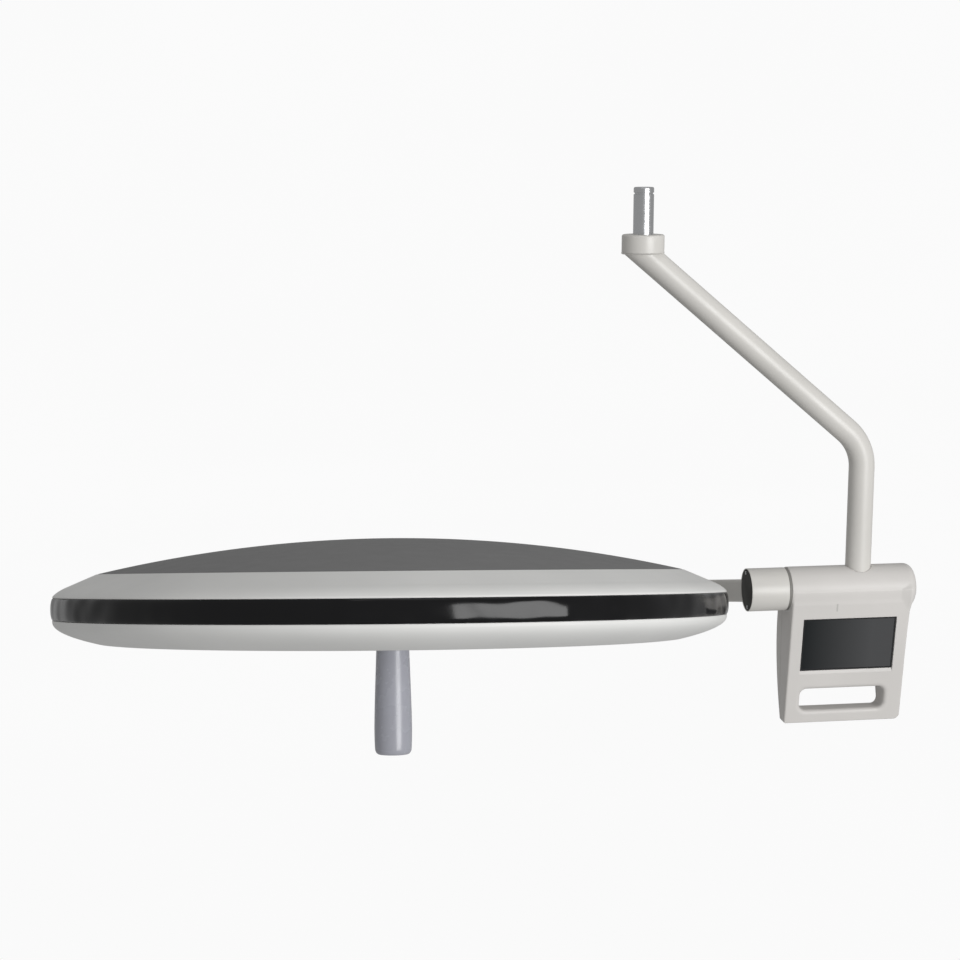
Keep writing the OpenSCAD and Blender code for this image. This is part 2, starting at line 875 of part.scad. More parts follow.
module rim_band() {
    mid = (band_top + band_bottom) / 2;
    edge_r = head_r + 0.5;
    color(black) in_head() difference() {
        rotate_extrude() polygon(concat(
            [[band_in, band_top - gap], [band_in, band_bottom + gap]],
            curve([edge_r, band_bottom + gap], [edge_r + 2 * band_bulge, mid], [edge_r, band_top - gap])));
        rear_opening();
    }
}

module lower_shell() {
    color(white) in_head() difference() {
        union() {
            rotate_extrude() polygon(concat(
                curve([head_r + 0.5, band_bottom], [head_r - 3, -27], [dome_r, underside_z + 0.4]),
                [[cover_r + 1, underside_z], [cover_r + 1, rest_z], [rest_in, rest_z], [rest_in, rest_top],
                    [cover_r + 4, rest_top]],
                curve([dome_r, -34], [head_r - 6.5, -25.5], [head_r + 0.5 - shell_wall, band_bottom])));
            around(shell_screw_count, lower_post_r, shell_screw_turn)
                rod(post_r + 1, underside_z + 1, frame_bottom - gap);
        }
        around(shell_screw_count, lower_post_r, shell_screw_turn) {
            rod(2.1, -far, 0);
            rod(3.8, -far, -33);
        }
        around(shell_screw_count, cover_screw_r) rod(1.1, -far, 0);
        rear_opening();
    }
}

module lower_shell_screws() {
    color(steel) in_head() around(shell_screw_count, lower_post_r, shell_screw_turn)
        translate([0, 0, -33]) screw(2, 30, 3.5, 2.4);
}

module lens_cover() {
    color([0.8, 0.86, 0.9, 0.4]) in_head() difference() {
        ring(cover_r, cover_hole_r, underside_z, cover_top);
        around(shell_screw_count, cover_screw_r) translate([0, 0, underside_z - eps])
            cylinder(r1 = 3, r2 = 1.4, h = cover_t + 2 * eps);
    }
}

module cover_gasket() {
    color(black) in_head() difference() {
        ring(cover_r - 1, rest_in, cover_top, rest_z);
        around(shell_screw_count, cover_screw_r) rod(1.4, -far, 0);
    }
}

module cover_screws() {
    color(steel) in_head() around(shell_screw_count, cover_screw_r) {
        translate([0, 0, underside_z + 0.2]) cylinder(r1 = 2.75, r2 = 1, h = cover_t - 0.4);
        rod(1, underside_z + 1, rest_top + 1);
    }
}

// Cast frame that carries everything in the head and ends in the boss for the roll shaft
module head_frame() {
    spoke_w = 20;
    spoke_lap = 6;
    trough_floor = 3;
    boss_start = 296;
    foot_w = 22;
    color(alu) in_head() difference() {
        union() {
            difference() {
                ring(frame_out, frame_in, frame_bottom, frame_top);
                ring(upper_post_r - 8, lower_post_r + 8, frame_bottom + trough_floor, frame_top + 1);
            }
            around(spoke_count, hub_r - spoke_lap, 30)
                translate([0, -spoke_w / 2, frame_bottom])
                cube([frame_in - hub_r + 2 * spoke_lap, spoke_w, frame_top - frame_bottom]);
            ring(hub_r, spigot_r + 1, spigot_top + gap, frame_top + 4);
            translate([0, 0, yoke_z]) y_rod(rear_boss_r, boss_start, rear_boss_end);
            translate([-foot_w / 2, boss_start, frame_bottom]) cube([foot_w, 16, yoke_z - frame_bottom]);
        }
        translate([0, 0, yoke_z]) y_rod(roll_r + run, shaft_seat_y, rear_boss_end + 1);
        around(shell_screw_count, upper_post_r, shell_screw_turn) rod(1.7, -far, far);
        around(shell_screw_count, lower_post_r, shell_screw_turn) rod(2.1, -far, frame_top - 2);
    }
}

module roll_shaft() {
    start = shaft_seat_y + 1;
    color(steel) in_head() translate([0, 0, yoke_z]) rotate([-90, 0, 0]) rotate_extrude() polygon([
        [shaft_bore, start], [roll_r, start], [roll_r, roll_bush_far + 2], [roll_r - 2, roll_bush_far + 2],
        [roll_r - 2, roll_nut_y + nut_t + 2], [shaft_bore, roll_nut_y + nut_t + 2]
    ]);
}

module roll_washers_nut() {
    color(zinc) in_head() translate([0, 0, yoke_z]) rotate([-90, 0, 0]) {
        translate([0, 0, roll_bush_far + bush_flange_t + clear]) washer_stack();
        translate([0, 0, roll_nut_y]) hex_nut(roll_r - 2 + run, 12, nut_t);
    }
}

module heat_spreader() {
    color(alu) in_head() ring(250, hub_r + 4, spreader_bottom, spreader_top);
}

module led_boards() {
    sectors = 6;
    saw_cut = 2;
    color(board) in_head() difference() {
        ring(244, hub_r + 10, led_board_bottom, led_board_top);
        for (i = [0:sectors - 1]) rotate([0, 0, i * 360 / sectors + 18])
            translate([0, -saw_cut / 2, -far / 2]) cube([far, saw_cut, far]);
    }
}

// Puts its children at every lamp unit
module lamp_units() {
    around(inner_count, inner_ring_r) children();
    around(outer_count, outer_ring_r, 180 / outer_count) children();
}

module led_chips() {
    color([0.95, 0.9, 0.5]) in_head() lamp_units()
        translate([-led_side / 2, -led_side / 2, led_board_bottom - gap - led_t])
        cube([led_side, led_side, led_t]);
}

module reflectors() {
    wall = 1;
    color(steel) in_head() lamp_units() rotate_extrude($fn = 48) polygon([
        [reflector_neck_r, reflector_top], [reflector_r, reflector_bottom],
        [reflector_r - wall, reflector_bottom], [reflector_neck_r - wall, reflector_top]
    ]);
}

module led_lenses() {
    rim = 1.6;
    color([0.85, 0.9, 0.95, 0.5]) in_head() lamp_units() rotate_extrude($fn = 48) polygon([
        [0, reflector_bottom - 0.2], [reflector_r - 4, reflector_bottom + 0.5],
        [reflector_r - 3, reflector_bottom + rim],
        [reflector_r - 5, reflector_bottom + lens_t], [0, reflector_bottom + lens_t + 1]
    ]);
}

module driver_board() {
    stand = 8;
    color(board) in_head() rotate([0, 0, 30]) translate([-190, -45, frame_top]) {
        translate([0, 0, stand]) cube([130, 90, board_t]);
        for (x = [8, 122], y = [38, 52]) translate([x, y, 0]) rod(3, gap, stand + eps);
        for (i = [0:2]) translate([25 + 26 * i, 25, stand + board_t - eps]) cylinder(r = 8, h = 14);
        translate([90, 55, stand + board_t - eps]) cube([28, 24, 12]);
        translate([14, 52, stand + board_t - eps]) cube([50, 18, 10]);
    }
}

module handle_spigot() {
    flange_r = 34;
    bore = 7;
    flange_z = spigot_top - spigot_flange_t;
    color(steel) in_head() rotate_extrude() polygon([
        [bore, spigot_top], [flange_r, spigot_top], [flange_r, flange_z], [spigot_r, flange_z],
        [spigot_r, clip_z + clip_w], [spigot_r - 1, clip_z + clip_w], [spigot_r - 1, clip_z],
        [spigot_r, clip_z], [spigot_r, spigot_end + 2], [spigot_r - 2, spigot_end], [bore, spigot_end]
    ]);
}

// Open spring ring that snaps into the groove inside the handle
module handle_clip() {
    mouth = 5;
    color(steel) in_head() difference() {
        ring(spigot_r + 0.2, spigot_r - 1 + gap, clip_z + gap, clip_z + clip_w - gap);
        translate([0, -mouth / 2, clip_z - 1]) cube([far, mouth, 2 * clip_w]);
    }
}

// White trim ring that closes the cover's centre around the handle
module hub_ring() {
    bore = handle_max_r + 1;
    top = spigot_top - spigot_flange_t - gap;
    color(white) in_head() rotate_extrude() polygon([
        [bore, top], [cover_hole_r - gap, top], [cover_hole_r - gap, underside_z - gap],
        [hub_ring_r, underside_z - gap], [hub_ring_r - 2, underside_z - 2.2],
        [bore + 3, underside_z - 5], [bore, underside_z - 4]
    ]);
}

module handle() {
    end_round = 3;
    color([0.85, 0.85, 0.9]) in_head() rotate_extrude() polygon(concat(
        [[0, handle_tip_z], [handle_end_r - end_round, handle_tip_z]],
        arc(handle_end_r - end_round, handle_tip_z + end_round, end_round, -90, 0),
        curve([handle_max_r - 0.2, handle_wide_z - 6], [handle_max_r, handle_wide_z],
            [handle_max_r - 0.1, handle_wide_z + 8]),
        curve([handle_top_r + 0.4, handle_top_z - 18], [handle_top_r, handle_top_z - 9],
            [handle_top_r, handle_top_z - 1]),
        [[handle_top_r - 1, handle_top_z], [handle_bore_r, handle_top_z], [handle_bore_r, clip_z + 3],
            [handle_bore_r + 0.6, clip_z + 2.4], [handle_bore_r + 0.6, clip_z - 0.2],
            [handle_bore_r, clip_z - 0.8], [handle_bore_r, spigot_end - 3], [0, spigot_end - 4]]));
}

bent_tube();
tube_boss();
pivot_pin();
swivel_journal();
swivel_ring();
mast_cable();
box_front_shell();
box_back_shell();
box_frame();
box_screws();
swivel_bush_upper();
swivel_bush_lower();
pitch_bush_left();
pitch_bush_right();
seam_ring();
touch_glass();
display_gasket();
display_module();
control_board();
board_spacers();
sensor_window();
box_harness();
knuckle_housing();
knuckle_cap();
cap_screws();
pitch_shaft();
pitch_washers();
pitch_nut();
shaft_screws();
yoke_arm();
arm_screws();
yoke_cable();
roll_housing();
roll_bush_near();
roll_bush_far();
roll_spacer();
hub_cap();
dome_cap();
dome_screws();
upper_shell();
upper_shell_screws();
rim_band();
lower_shell();
lower_shell_screws();
lens_cover();
cover_gasket();
cover_screws();
head_frame();
roll_shaft();
roll_washers_nut();
heat_spreader();
led_boards();
led_chips();
reflectors();
led_lenses();
driver_board();
handle_spigot();
handle_clip();
hub_ring();
handle();
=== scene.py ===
"""Dental operating light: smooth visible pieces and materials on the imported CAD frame.

Shapes are written in millimetres in three frames: BOX, with its origin where the pitch axis
crosses the head's axis, YOKE, tilted with the yoke, and HEAD, which also leans about the roll axis.
"""

import json
import math

import bmesh
import bpy
import numpy as np
from mathutils import Matrix, Vector


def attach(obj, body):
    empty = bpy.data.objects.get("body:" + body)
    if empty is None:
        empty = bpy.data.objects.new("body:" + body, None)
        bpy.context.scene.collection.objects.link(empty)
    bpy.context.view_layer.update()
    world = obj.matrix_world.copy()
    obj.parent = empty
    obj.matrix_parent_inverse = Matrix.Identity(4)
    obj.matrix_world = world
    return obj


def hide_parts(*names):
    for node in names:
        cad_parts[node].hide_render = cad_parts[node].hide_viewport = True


MM = 0.001

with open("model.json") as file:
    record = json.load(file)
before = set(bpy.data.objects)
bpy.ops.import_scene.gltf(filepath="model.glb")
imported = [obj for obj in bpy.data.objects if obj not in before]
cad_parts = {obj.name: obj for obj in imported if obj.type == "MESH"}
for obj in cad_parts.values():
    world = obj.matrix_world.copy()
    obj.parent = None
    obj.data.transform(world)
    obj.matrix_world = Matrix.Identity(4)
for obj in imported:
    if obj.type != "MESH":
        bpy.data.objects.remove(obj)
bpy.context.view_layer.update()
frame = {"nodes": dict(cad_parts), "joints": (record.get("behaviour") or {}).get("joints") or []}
joints = {j["name"]: j for j in frame["joints"]}


# Frames

def turn(angle, axis):
    """Rotation by an angle in radians."""
    return Matrix.Rotation(angle, 4, axis)


def shift(x, y, z):
    return Matrix.Translation((x, y, z))


pitch_at = Vector(joints["head_pitch"]["pos_m"])
roll_at = Vector(joints["head_roll"]["pos_m"])
tilt = math.asin(-joints["head_roll"]["axis"][2])
lean = math.asin(-joints["handle_pull"]["axis"][0])
swivel_x = (Vector(joints["box_swivel"]["pos_m"]) - pitch_at).x / MM
yoke_up = turn(-tilt, "X").to_3x3() @ Vector((0, 0, 1))
roll_z = (roll_at - pitch_at).dot(yoke_up) / MM

BOX = Matrix.Translation(pitch_at) @ Matrix.Scale(MM, 4)
YOKE = Matrix.Translation(pitch_at) @ turn(-tilt, "X") @ Matrix.Scale(MM, 4)
HEAD = YOKE @ shift(0, 0, roll_z) @ turn(lean, "Y") @ shift(0, 0, -roll_z)
ALONG_X = turn(math.radians(90), "Y")
ALONG_ROLL = shift(0, 0, roll_z) @ turn(math.radians(-90), "X")
ALONG_SWIVEL = shift(swivel_x, 0, 0)


# Meshes

def make_piece(name, verts, faces, place, normals=None, sharp=40):
    """Mesh object from millimetre corners in the frame place, smooth except at edges over sharp degrees."""
    mesh = bpy.data.meshes.new(name)
    mesh.from_pydata([place @ Vector(v) for v in verts], [], faces)
    mesh.validate()
    bm = bmesh.new()
    bm.from_mesh(mesh)
    bmesh.ops.recalc_face_normals(bm, faces=bm.faces)
    bm.to_mesh(mesh)
    bm.free()
    mesh.shade_smooth()
    if normals is None:
        mesh.set_sharp_from_angle(angle=math.radians(sharp))
    else:
        rotation = place.to_3x3().normalized()
        mesh.normals_split_custom_set_from_vertices([rotation @ Vector(n) for n in normals])
    piece = bpy.data.objects.new(name, mesh)
    bpy.context.scene.collection.objects.link(piece)
    return piece


def soften(points, closed=True, steps=5):
    """Rounds the corners of a profile. A point is (r, z) for a sharp corner or (r, z, radius)."""
    out = []
    count = len(points)
    for i, point in enumerate(points):
        here = np.array(point[:2], float)
        at_end = not closed and i in (0, count - 1)
        if len(point) < 3 or at_end:
            out.append(tuple(here))
            continue
        before = np.array(points[i - 1][:2], float) - here
        after = np.array(points[(i + 1) % count][:2], float) - here
        lengths = np.linalg.norm(before), np.linalg.norm(after)
        reach = min(point[2], 0.5 * lengths[0], 0.5 * lengths[1])
        a = here + before / lengths[0] * reach
        b = here + after / lengths[1] * reach
        for t in np.linspace(0, 1, steps + 1):
            out.append(tuple((1 - t) ** 2 * a + 2 * t * (1 - t) * here + t * t * b))
    return out


def bezier(points, steps=14):
    """Points along a quadratic or cubic curve."""
    out = []
    degree = len(points) - 1
    for t in np.linspace(0, 1, steps + 1):
        weights = [math.comb(degree, k) * t ** k * (1 - t) ** (degree - k) for k in range(degree + 1)]
        out.append(tuple(sum(w * np.array(p, float) for w, p in zip(weights, points))))
    return out


def join_rings(rings, closed):
    """Faces between rings of corner numbers. A ring of one corner is a tip."""
    faces = []
    pairs = list(zip(rings, rings[1:]))
    if closed:
        pairs.append((rings[-1], rings[0]))
    for lower, upper in pairs:
        steps = max(len(lower), len(upper))
        if len(lower) == len(upper) == 1:
            continue
        for i in range(steps):
            j = (i + 1) % steps
            if len(lower) == 1:
                faces.append((lower[0], upper[j], upper[i]))
            elif len(upper) == 1:
                faces.append((lower[i], lower[j], upper[0]))
            else:
                faces.append((lower[i], lower[j], upper[j], upper[i]))
    return faces


def spin(name, profile, place, steps=128, closed=True, sharp=40):
    """Body of revolution about Z from (radius, height) points in millimetres."""
    verts, rings = [], []
    angles = [2 * math.pi * i / steps for i in range(steps)]
    for r, z in profile:
        first = len(verts)
        if r < 1e-6:
            verts.append((0, 0, z))
        else:
            verts += [(r * math.cos(a), r * math.sin(a), z) for a in angles]
        rings.append(range(first, len(verts)))
    return make_piece(name, verts, join_rings(rings, closed), place, sharp=sharp)


def sweep(name, frames, section, place, ring_closed=False):
    """Section swept through matrices. Its points are (across, up), and open ends are capped."""
    verts, rings = [], []
    for matrix in frames:
        first = len(verts)
        verts += [tuple(matrix @ Vector((a, 0, b))) for a, b in section]
        rings.append(range(first, len(verts)))
    faces = join_rings(rings, ring_closed)
    if not ring_closed:
        faces += [tuple(rings[0]), tuple(reversed(rings[-1]))]
    return make_piece(name, verts, faces, place)


# Signed distances, for moulded shapes with blended edges

SETTLE_ROUNDS = 4
LEAST_SLOPE = 0.05


def smooth_max(a, b, k):
    """Larger of two distances, blended over k millimetres where they are close."""
    h = np.maximum(k - np.abs(a - b), 0) / k
    return np.maximum(a, b) + h * h * k / 4


def smooth_min(a, b, k):
    return -smooth_max(-a, -b, k)


def rounded(a, b, r):
    """Corner of radius r between two distances that meet at a right angle."""
    a, b = a + r, b + r
    return np.minimum(np.maximum(a, b), 0) + np.hypot(np.maximum(a, 0), np.maximum(b, 0)) - r


def polygon_distance(x, y, points):
    """Signed distance to a closed outline, negative inside."""
    nearest = np.full(x.shape, np.inf)
    inside = np.zeros(x.shape, bool)
    for (x0, y0), (x1, y1) in zip(points, points[1:] + points[:1]):
        ex, ey = x1 - x0, y1 - y0
        wx, wy = x - x0, y - y0
        t = np.clip((wx * ex + wy * ey) / (ex * ex + ey * ey), 0, 1)
        nearest = np.minimum(nearest, (wx - ex * t) ** 2 + (wy - ey * t) ** 2)
        if y0 != y1:
            crosses = (y0 > y) != (y1 > y)
            inside ^= crosses & (x < ex * (y - y0) / ey + x0)
    return np.where(inside, -1, 1) * np.sqrt(nearest)


def gradient(field, points, reach=0.12):
    """Slope of a distance field at points, from samples reach to either side."""
    steps = np.eye(3) * reach
    return np.stack([field(points + s) - field(points - s) for s in steps], -1) / (2 * reach)


def skin(name, field, low, high, step, place):
    """Mesh of the surface where field is zero: one corner in each grid cell it crosses, drawn onto it."""
    axes = [np.arange(a, b + step, step) for a, b in zip(low, high)]
    grid = np.stack(np.meshgrid(*axes, indexing="ij"), -1)
    value = field(grid)
    inside = value < 0
    shape = np.array(value.shape)
    total = np.zeros(tuple(shape - 1) + (3,))
    hits = np.zeros(tuple(shape - 1))
    for axis in range(3):
        along = np.eye(3, dtype=int)[axis]
        others = [k for k in range(3) if k != axis]
        for du in (0, 1):
            for dv in (0, 1):
                start = np.zeros(3, int)
                start[others[0]], start[others[1]] = du, dv
                here = tuple(slice(s, s + n - 1) for s, n in zip(start, shape))
                there = tuple(slice(s, s + n - 1) for s, n in zip(start + along, shape))
                crossed = inside[here] != inside[there]
                gap = np.where(crossed, value[here] - value[there], 1)
                t = np.where(crossed, value[here] / gap, 0)
                where = start + along * t[..., None]
                total += np.where(crossed[..., None], where, 0)
                hits += crossed
    cells = np.argwhere(hits > 0)
    number = -np.ones(hits.shape, int)
    number[tuple(cells.T)] = np.arange(len(cells))
    corners = np.array(low) + step * (cells + (total[hits > 0] / hits[hits > 0][:, None]))
    faces = []
    for axis in range(3):
        u, v = [k for k in range(3) if k != axis]
        along = np.eye(3, dtype=int)[axis]
        here = tuple(slice(0, n - a) for n, a in zip(shape, along))
        there = tuple(slice(a, None) for a in along)
        edges = np.argwhere(inside[here] != inside[there])
        edges = edges[(edges[:, u] > 0) & (edges[:, v] > 0)]
        step_u, step_v = np.eye(3, dtype=int)[u], np.eye(3, dtype=int)[v]
        around = [edges, edges - step_u, edges - step_u - step_v, edges - step_v]
        faces.append(np.stack([number[tuple(c.T)] for c in around], -1))
    faces = np.concatenate(faces)
    for _ in range(SETTLE_ROUNDS):
        slope = gradient(field, corners)
        size = np.maximum((slope ** 2).sum(-1, keepdims=True), LEAST_SLOPE)
        corners -= np.clip(field(corners)[:, None] * slope / size, -step / 2, step / 2)
    normals = gradient(field, corners)
    normals /= np.maximum(np.linalg.norm(normals, axis=1, keepdims=True), 1e-9)
    return make_piece(name, corners.tolist(), faces.tolist(), place, normals=normals.tolist())


# Materials

NOISE_LOW, NOISE_HIGH = 0.25, 0.75
WAVE_SCALE = 18
COAT_ROUGHNESS = 0.06
ACRYLIC_IOR = 1.49


def node_group(name):
    """New material with its node tree, its shader and a source of object coordinates."""
    material = bpy.data.materials.new(name)
    material.use_nodes = True
    tree = material.node_tree
    shader = tree.nodes["Principled BSDF"]
    coords = tree.nodes.new("ShaderNodeTexCoord")
    return material, tree, shader, coords


def add_noise(tree, coords, scale, detail=3.0, stretch=(1, 1, 1)):
    mapping = tree.nodes.new("ShaderNodeMapping")
    mapping.inputs["Scale"].default_value = stretch
    noise = tree.nodes.new("ShaderNodeTexNoise")
    noise.inputs["Scale"].default_value = scale
    noise.inputs["Detail"].default_value = detail
    tree.links.new(coords.outputs["Object"], mapping.inputs["Vector"])
    tree.links.new(mapping.outputs["Vector"], noise.inputs["Vector"])
    return noise.outputs["Fac"]


def add_ramp(tree, fac, low, high, start=0.3, end=0.7):
    ramp = tree.nodes.new("ShaderNodeValToRGB")
    ramp.color_ramp.elements[0].position = start
    ramp.color_ramp.elements[1].position = end
    ramp.color_ramp.elements[0].color = (*low, 1)
    ramp.color_ramp.elements[1].color = (*high, 1)
    tree.links.new(fac, ramp.inputs["Fac"])
    return ramp.outputs["Color"]


def add_range(tree, fac, low, high):
    ranged = tree.nodes.new("ShaderNodeMapRange")
    ranged.inputs["From Min"].default_value = NOISE_LOW
    ranged.inputs["From Max"].default_value = NOISE_HIGH
    ranged.inputs["To Min"].default_value = low
    ranged.inputs["To Max"].default_value = high
    tree.links.new(fac, ranged.inputs["Value"])
    return ranged.outputs["Result"]


def add_bump(tree, shader, fac, depth, below=None):
    """Surface relief. depth is in metres."""
    bump = tree.nodes.new("ShaderNodeBump")
    bump.inputs["Strength"].default_value = 1.0
    bump.inputs["Distance"].default_value = depth
    tree.links.new(fac, bump.inputs["Height"])
    if below is not None:
        tree.links.new(below, bump.inputs["Normal"])
    tree.links.new(bump.outputs["Normal"], shader.inputs["Normal"])
    return bump.outputs["Normal"]


def scaled(colour, factor):
    return tuple(min(c * factor, 1.0) for c in colour)


def finish(name, colour, rough, vary=0.04, patch=9, grain=900, relief=0.00001, wave=0.0,
           metal=0.0, coat=0.0, stretch=(1, 1, 1), level=0.5):
    """Painted, moulded or turned surface: faint colour patches, uneven gloss and fine relief.

    rough is the range of roughness, relief and wave are depths in metres, and level is the specular level.
    """
    material, tree, shader, coords = node_group(name)
    patches = add_noise(tree, coords, patch, 4)
    tree.links.new(add_ramp(tree, patches, scaled(colour, 1 - vary), scaled(colour, 1 + vary)),
                   shader.inputs["Base Color"])
    marks = add_noise(tree, coords, patch * 6, 6, stretch)
    tree.links.new(add_range(tree, marks, *rough), shader.inputs["Roughness"])
    fine = add_bump(tree, shader, add_noise(tree, coords, grain, 2, stretch), relief)
    if wave:
        add_bump(tree, shader, add_noise(tree, coords, WAVE_SCALE, 1), wave, below=fine)
    shader.inputs["Metallic"].default_value = metal
    shader.inputs["Coat Weight"].default_value = coat
    shader.inputs["Coat Roughness"].default_value = COAT_ROUGHNESS
    shader.inputs["Specular IOR Level"].default_value = level
    return material


def clear_finish(name, colour, rough, weight):
    """Clear plastic or glass with faint haze."""
    material, tree, shader, coords = node_group(name)
    haze = add_noise(tree, coords, 14, 4)
    tree.links.new(add_range(tree, haze, *rough), shader.inputs["Roughness"])
    tree.links.new(add_ramp(tree, haze, scaled(colour, 0.98), colour), shader.inputs["Base Color"])
    shader.inputs["Transmission Weight"].default_value = weight
    shader.inputs["IOR"].default_value = ACRYLIC_IOR
    return material


def display_with_painted_light(name):
    """Unlit screen behind glass: nearly black at its left, dark grey towards the right. The lighter right part
    is painted light, standing in for the light that falls on the glass from the right.
    """
    material, tree, shader, coords = node_group(name)
    split = tree.nodes.new("ShaderNodeSeparateXYZ")
    tree.links.new(coords.outputs["Generated"], split.inputs["Vector"])
    # Painted light: the base colour brightens from left to right, in place of the lamp's light falling on the
    # glass from the right.
    painted_light_ramp = add_ramp(tree, split.outputs["X"], (0.006, 0.008, 0.009), (0.06, 0.061, 0.063), 0.0, 0.75)
    tree.links.new(painted_light_ramp, shader.inputs["Base Color"])
    tree.links.new(add_range(tree, add_noise(tree, coords, 60, 5), 0.1, 0.16), shader.inputs["Roughness"])
    shader.inputs["Specular IOR Level"].default_value = 0.3
    return material


ENAMEL = finish("enamel", (0.6, 0.585, 0.555), (0.32, 0.42), relief=0.00002, grain=500)
BOX_WHITE = finish("box_moulding", (0.585, 0.567, 0.546), (0.4, 0.5), grain=1200, level=0.35)
SHELL_WHITE = finish("shell_moulding", (0.69, 0.69, 0.675), (0.42, 0.52), wave=0.0001, level=0.3)
DOME_GREY = finish("dome_satin", (0.2, 0.2, 0.2), (0.6, 0.7), vary=0.01, relief=0.00003, grain=1500,
                   level=0.2)
BAND_BLACK = finish("band_gloss", (0.004, 0.004, 0.0045), (0.13, 0.2), vary=0.2, wave=0.009, level=0.24)
GRIP_WHITE = finish("grip_gloss", (0.38, 0.385, 0.43), (0.22, 0.32), wave=0.0002)
DARK_NYLON = finish("dark_nylon", (0.028, 0.027, 0.024), (0.5, 0.62), vary=0.12, relief=0.00004,
                    grain=1800, level=0.3)
GROOVE_GREY = finish("groove_grey", (0.22, 0.215, 0.2), (0.5, 0.6), vary=0.08, relief=0.00003,
                     grain=1800, level=0.3)
RUBBER = finish("rubber", (0.02, 0.02, 0.02), (0.65, 0.8), vary=0.15, relief=0.00005, grain=1500)
STEEL = finish("turned_steel", (0.58, 0.59, 0.6), (0.22, 0.34), metal=1.0, stretch=(1, 1, 12), grain=700)
ZINC = finish("zinc_plate", (0.5, 0.5, 0.47), (0.34, 0.5), metal=1.0, vary=0.12, patch=60)
BRONZE = finish("sintered_bronze", (0.46, 0.27, 0.1), (0.4, 0.52), metal=1.0, vary=0.12, grain=2500,
                relief=0.00005)
CAST_ALU = finish("cast_aluminium", (0.6, 0.61, 0.62), (0.42, 0.58), metal=1.0, grain=900, relief=0.00008)
GREEN_BOARD = finish("solder_mask", (0.012, 0.09, 0.035), (0.3, 0.42), vary=0.18, patch=120)
WHITE_BOARD = finish("white_solder_mask", (0.72, 0.72, 0.7), (0.35, 0.45), patch=50)
LED_YELLOW = finish("phosphor", (0.78, 0.6, 0.1), (0.5, 0.6), vary=0.08, patch=400)
MIRROR_CUP = finish("metallised_cup", (0.85, 0.85, 0.87), (0.08, 0.16), metal=1.0, vary=0.03)
CLEAR = clear_finish("clear_cover", (0.96, 0.98, 0.99), (0.02, 0.06), 1.0)
LENS = clear_finish("lens_glass", (0.97, 0.98, 1.0), (0.04, 0.1), 1.0)
GLASS_BLACK = finish("printed_border", (0.006, 0.006, 0.007), (0.08, 0.14), vary=0.1, coat=0.4)
DISPLAY = display_with_painted_light("unlit_display")
SENSOR = finish("sensor_window", (0.46, 0.45, 0.43), (0.3, 0.4))


def show(piece, body, material, slot, *nodes):
    """Dresses a piece, rides it on a body and lets it stand for CAD nodes."""
    piece.data.materials.clear()
    piece.data.materials.append(material)
    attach(piece, body)
    if nodes:
        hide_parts(*nodes)


# Mast

TUBE_R = 13
TUBE_BORE = 10.5
TUBE_LOW = 18
BEND_START = 125.2
BEND_R = 50
SLANT = math.radians(40.3)
BOSS_R = 21
BOSS_T = 18
BOSS_CUP = 10
PIN_R = 10
PIN_BORE = 5
PIN_SEAT, PIN_GROOVE, PIN_END = 39, 40.6, 46
WELD_W, WELD_T = 1.5, 1.3
ROUND_STEPS, BEND_STEPS, WELD_STEPS = 64, 32, 96
shoulder_z = -pitch_at.z / MM
pin_x = -pitch_at.x / MM
tube_top = shoulder_z - BOSS_T


def tube_rings(radius):
    """Rings of corners along the bent tube. The last one is cut level under the boss."""
    around = [2 * math.pi * i / ROUND_STEPS for i in range(ROUND_STEPS)]
    bend = math.pi / 2 - SLANT
    places = [((0, TUBE_LOW), 0.0)]
    for i in range(BEND_STEPS + 1):
        a = bend * i / BEND_STEPS
        places.append(((BEND_R * (math.cos(a) - 1), BEND_START + BEND_R * math.sin(a)), a))
    rings = []
    for (x, z), a in places:
        across = Vector((math.cos(a), 0, math.sin(a)))
        rings.append([Vector((x, 0, z)) + radius * (math.cos(t) * across + math.sin(t) * Vector((0, 1, 0)))
                      for t in around])
    ahead = Vector((-math.sin(bend), 0, math.cos(bend)))
    rings.append([corner + ahead * ((tube_top - corner.z) / ahead.z) for corner in rings[-1]])
    return rings


def make_tube():
    outer, inner = tube_rings(TUBE_R), tube_rings(TUBE_BORE)
    verts, rings = [], []
    for ring in outer + inner[::-1]:
        rings.append(range(len(verts), len(verts) + len(ring)))
        verts += [tuple(corner) for corner in ring]
    return make_piece("mast_tube", verts, join_rings(rings, True), BOX @ ALONG_SWIVEL)


def make_weld():
    """Bead around the oval where the slanted tube meets the boss."""
    half = TUBE_R / math.sin(SLANT)
    frames = []
    for i in range(WELD_STEPS):
        a = 2 * math.pi * i / WELD_STEPS
        side = math.atan2(math.sin(a) * half, math.cos(a) * TUBE_R)
        frames.append(shift(half * math.cos(a), TUBE_R * math.sin(a), 0) @ turn(side, "Z"))
    section = [(WELD_W * math.cos(t), WELD_T * math.sin(t)) for t in np.linspace(0, 2 * math.pi, 13)[:-1]]
    return sweep("tube_weld", frames, section, BOX @ shift(pin_x, 0, tube_top), ring_closed=True)


show(make_tube(), "mast", ENAMEL, "gloss_white", "bent_tube")
show(make_weld(), "mast", ENAMEL, "gloss_white")
boss = soften([(PIN_R, 0), (BOSS_R, 0, 1.2), (BOSS_R, BOSS_T, 2.2), (PIN_BORE, BOSS_T), (PIN_BORE, BOSS_CUP),
               (PIN_R, BOSS_CUP)])
show(spin("mast_boss", boss, BOX @ shift(pin_x, 0, tube_top)),
     "mast", ENAMEL, "gloss_white", "tube_boss")
pin = soften([(PIN_BORE, 0), (PIN_R, 0), (PIN_R, PIN_SEAT, 0.2), (PIN_R - 1, PIN_SEAT),
              (PIN_R - 1, PIN_GROOVE), (PIN_R, PIN_GROOVE, 0.2), (PIN_R, PIN_END, 1.8),
              (PIN_BORE, PIN_END, 0.5)])
show(spin("mast_pin", pin, BOX @ shift(pin_x, 0, shoulder_z), steps=96),
     "mast", STEEL, "steel", "pivot_pin")


# Control box

